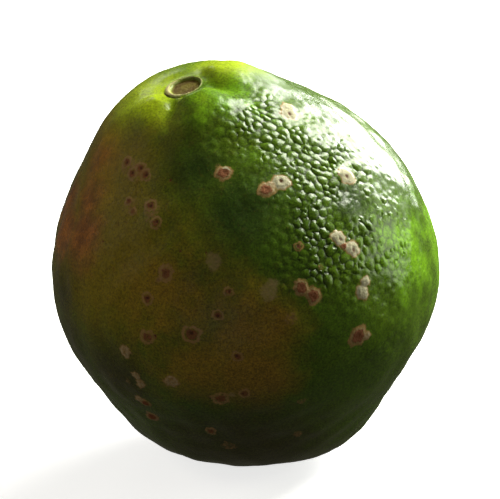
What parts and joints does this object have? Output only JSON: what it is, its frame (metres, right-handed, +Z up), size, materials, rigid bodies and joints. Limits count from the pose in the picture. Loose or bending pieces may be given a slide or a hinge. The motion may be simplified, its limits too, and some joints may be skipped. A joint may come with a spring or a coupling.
{
  "type": "rangpur lime",
  "caption": "Whole ripening citrus fruit with a pebbled green rind, lobed stem end and corky scabs, resting on a small flat spot.",
  "frame": {"origin": "middle of the bounding box's underside, on the flat spot that the fruit rests on", "axes": "+Z up; the picture looks along +Y, so -Y is the side it shows and +X is its right; the stem end leans from +Z towards -X"},
  "size_m": [0.0522, 0.0526, 0.0545],
  "materials": {
    "rind": "waxy pebbled citrus rind, deep green with olive, yellow-green and russet zones and matte tan scabs"
  },
  "bodies": {
    "root": {"fruit": "rind"}
  },
  "joints": []
}
